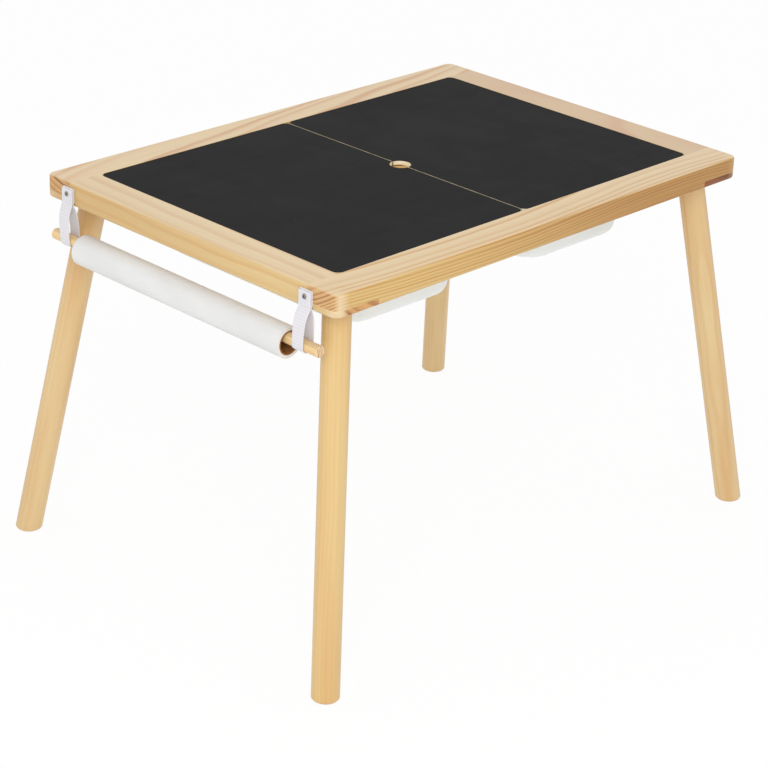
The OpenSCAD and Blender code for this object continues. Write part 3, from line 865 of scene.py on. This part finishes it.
# A strap's band of webbing and its stitches.
WEBBING_STEP = 1.5 * MM
WEBBING_ROWS = 10
WEBBING_PRESSED = 0.94         # a ply's thickness where plies lie on each other
WEBBING_SLACK = 20 * MM        # it is all slack this far below the swing line
WEBBING_WAVE = 0.5 * MM
WAVE_RATE = (60, 45, 9)        # waves per metre across a band, along it and from band to band
WEBBING_NECKING = 0.06         # share by which the slack band draws in across its width
WEBBING_LEAN = {"front": 2.4 * MM, "back": -6.5 * MM}      # how far towards the back it hangs
SELVEDGE_ROUND = 0.35 * MM
STITCH_HEIGHTS = (4 * MM, 6 * MM)
STITCH_PITCH, STITCH_MARGIN = 2.1 * MM, 1.8 * MM
STITCH_SIZE = (0.5 * MM, 1.7 * MM, 0.45 * MM)
# The roll.
SHEET_GROUPS = 9               # groups of sheets that slip past each other
SHEET_STAGGER = 0.5 * MM       # how far they slip
SLIP_RATE, SLIP_PLACE = (1.7, 31), 0.4         # picks each group's slip from a noise
ROLL_STEPS = 120
FREE_EDGE_STEP = 0.3 * MM      # height of the last sheet's free edge
FREE_EDGE_ANGLE = 0.8          # degrees of turn that the edge takes
FREE_EDGE_PLACE = 40           # degrees below the side that faces the table


def arc(centre, radius, start, end, steps):
    """Points on an arc in the XZ plane, from one angle in degrees to another."""
    angles = [math.radians(start + (end - start) * k / steps) for k in range(steps + 1)]
    return [Vector((centre.x + radius * math.cos(a), 0, centre.z + radius * math.sin(a)))
            for a in angles]


def loop_side(top_x, top_z, bottom_x, bottom_z):
    """One side of a hanging loop, from the hem down to the rod's height."""
    points = []
    for k in range(LOOP_STEPS + 1):
        s = k / LOOP_STEPS
        eased = s * s * (1 + LOOP_EASE) / (s + LOOP_EASE)
        opened = 1 - (1 - eased) ** LOOP_SWELL
        points.append(Vector((top_x + (bottom_x - top_x) * opened, 0,
                              top_z + (bottom_z - top_z) * s)))
    return points


def webbing_line(end):
    """A strap's middle line in the XZ plane: up the inner hem, round the rod, up the outer hem."""
    hems, rod = box_of("strap_tab_" + end), box_of("holder_rod")
    ply = (hems.high.x - hems.low.x) / 4
    half = ply / 2
    ring = rod.centre.z - box_of("strap_loop_" + end).low.z - half
    inner_fold = Vector((hems.high.x - ply, 0, hems.high.z - ply))
    outer_fold = Vector((hems.low.x + ply, 0, hems.high.z - HEM_STEP - ply))
    raw_z, free_z = SWING.z + HEM_RAW_END, SWING.z + HEM_FREE_END
    line = [Vector((inner_fold.x + half, 0, raw_z))]
    line += arc(inner_fold, half, 0, 180, FOLD_STEPS)
    line += loop_side(inner_fold.x - half, free_z, rod.centre.x + ring, rod.centre.z)
    line += arc(rod.centre, ring, 0, -180, RING_STEPS)[1:-1]
    line += reversed(loop_side(outer_fold.x - half, free_z, rod.centre.x - ring, rod.centre.z))
    line += arc(outer_fold, half, 180, 0, FOLD_STEPS)
    line.append(Vector((outer_fold.x + half, 0, raw_z)))
    return line, ply


def evenly(line, step):
    """The same line with points at most a step apart on its straight runs."""
    points = [line[0]]
    for here, there in zip(line, line[1:]):
        parts = max(1, math.ceil((there - here).length / step))
        points += [here.lerp(there, k / parts) for k in range(1, parts + 1)]
    return points


def sweep_band(line, low_y, wide):
    """A flat band that follows a line, and the layer that tells how far along it a point is."""
    bm = bmesh.new()
    length = bm.verts.layers.float.new("length")
    first = [bm.verts.new(line[0] + Y * (low_y + wide * k / WEBBING_ROWS))
             for k in range(WEBBING_ROWS + 1)]
    row = [bm.edges.new(pair) for pair in zip(first, first[1:])]
    run = 0.0
    for here, there in zip(line, line[1:]):
        run += (there - here).length
        made = bmesh.ops.extrude_edge_only(bm, edges=row)["geom"]
        moved = [part for part in made if isinstance(part, bmesh.types.BMVert)]
        bmesh.ops.translate(bm, vec=there - here, verts=moved)
        for vert in moved:
            vert[length] = run
        row = [part for part in made if isinstance(part, bmesh.types.BMEdge)
               and all(vert in moved for vert in part.verts)]
    return bm, length


def slacken(bm, length, box, lean):
    """Below the line where it swings, the band waves, draws in and hangs askew."""
    low_z = min(vert.co.z for vert in bm.verts)
    for vert in bm.verts:
        drop = SWING.z - vert.co.z
        if drop > 0:
            slack = min(1.0, drop / WEBBING_SLACK)
            spot = (vert.co.y, vert[length], box.low.y)
            wave = noise.noise(Vector(rate * at for rate, at in zip(WAVE_RATE, spot)))
            vert.co.x += wave * WEBBING_WAVE * slack
            vert.co.y += (vert.co.y - box.centre.y) * -WEBBING_NECKING * slack
            vert.co.y += lean * drop / (SWING.z - low_z)


def add_webbing(end, cotton):
    """One strap as a single band of webbing, which bends where its loop leaves the hems."""
    line, ply = webbing_line(end)
    box = box_of("strap_tab_" + end)
    bm, length = sweep_band(evenly(line, WEBBING_STEP), box.low.y, box.high.y - box.low.y)
    slacken(bm, length, box, WEBBING_LEAN[end])
    weave = bm.loops.layers.uv.new(WEAVE)
    for face in bm.faces:
        for loop in face.loops:
            loop[weave].uv = (loop.vert.co.y - box.low.y, loop.vert[length])
    band = add_piece("webbing_" + end, bm, cotton)
    thicken(band, ply * WEBBING_PRESSED, 0)
    soften(band, SELVEDGE_ROUND)
    stand_in(band, ["strap_tab_" + end, "strap_loop_" + end], None)
    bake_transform(band)


def add_stitches(end, thread):
    """Two rows of lockstitch across the hems, below the screw."""
    box = box_of("strap_tab_" + end)
    bm = bmesh.new()
    count = int((box.high.y - box.low.y - 2 * STITCH_MARGIN) / STITCH_PITCH)
    for height in STITCH_HEIGHTS:
        for k in range(count + 1):
            y = box.centre.y + (k - count / 2) * STITCH_PITCH
            place = (Matrix.Translation((box.low.x, y, box.low.z + height))
                     @ Matrix.Diagonal((*STITCH_SIZE, 1)))
            bmesh.ops.create_icosphere(bm, subdivisions=2, radius=0.5, matrix=place)
    seam = add_piece("hem_stitches_" + end, bm, thread)
    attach(seam, "frame")


def staggered_end(levels, y, inward):
    """Profile of one end of the roll, whose groups of sheets have slipped inwards."""
    points = []
    for k, (near, far) in enumerate(zip(levels, levels[1:])):
        spot = Vector((k * SLIP_RATE[0], y * SLIP_RATE[1], SLIP_PLACE))
        set_back = inward * SHEET_STAGGER * abs(noise.noise(spot))
        points += [(near, y + set_back), (far, y + set_back)]
    return points


def add_paper(paper):
    """The roll as one wound solid: telescoped sheets at its ends and the last sheet's free edge."""
    roll, core = box_of("paper_roll"), box_of("paper_core")
    middle = roll.centre
    outer = (roll.high.z - roll.low.z) / 2
    inner = (core.high.z - core.low.z) / 2
    levels = [inner + (outer - inner) * k / SHEET_GROUPS for k in range(SHEET_GROUPS + 1)]
    profile = staggered_end(levels, roll.low.y, 1) + staggered_end(levels, roll.high.y, -1)[::-1]
    bm = bmesh.new()
    verts = [bm.verts.new((middle.x + r, y, middle.z)) for r, y in profile]
    section = [bm.edges.new(pair) for pair in zip(verts, verts[1:] + verts[:1])]
    turn = bmesh.ops.spin(bm, geom=verts + section, axis=Y, cent=middle, steps=ROLL_STEPS,
                          angle=math.radians(360 - FREE_EDGE_ANGLE))
    bmesh.ops.spin(bm, geom=turn["geom_last"], axis=Y, cent=middle, steps=1,
                   angle=math.radians(FREE_EDGE_ANGLE))
    bmesh.ops.remove_doubles(bm, verts=bm.verts, dist=NEAR)
    # The radius grows by one step round the roll and falls back at the last sheet's edge.
    for vert in bm.verts:
        arm = Vector((vert.co.x - middle.x, 0, vert.co.z - middle.z))
        share = (math.atan2(-arm.z, arm.x) / (2 * math.pi)) % 1.0
        depth = (arm.length - inner) / (outer - inner)
        vert.co -= arm.normalized() * FREE_EDGE_STEP * (1 - share) * max(0.0, depth)
    bmesh.ops.rotate(bm, verts=bm.verts, cent=middle,
                     matrix=Matrix.Rotation(math.radians(FREE_EDGE_PLACE), 3, "Y"))
    bmesh.ops.recalc_face_normals(bm, faces=bm.faces)
    stand_in(add_piece("wound_paper", bm, paper), ["paper_roll"], "roll")


def add_holder():
    """Rod, roll, straps and their screws."""
    finish_node("holder_rod", pine(
        "pine_rod", box_of("holder_rod").centre + Vector((0.06, 0, 0.01)),
        Vector((0.012, 1, -0.004)), reach=0.06, rings=14, sway=0.003, contrast=0.7, tones=ROD))
    finish_node("paper_core", cardboard_finish(box_of("paper_core").centre))
    add_paper(paper_finish(box_of("paper_roll").centre))
    cotton = webbing_finish()
    thread = speckled("sewing_thread", THREAD, fine=4000, broad=400, roughness=(0.7, 0.85),
                      relief=(0.3, 0.1 * MM))
    steel = speckled("dark_screw", STEEL, fine=1500, broad=320, roughness=(0.3, 0.5),
                     relief=(0.2, 0.1 * MM), Metallic=0.85)
    for end in ENDS:
        add_webbing(end, cotton)
        add_stitches(end, thread)
        finish_node("strap_screw_" + end, steel)


bpy.context.scene.view_settings.view_transform = "Standard"
add_camera()
light_studio()
add_floor()
add_rails()
add_legs()
add_lids()
add_bins()
add_holder()
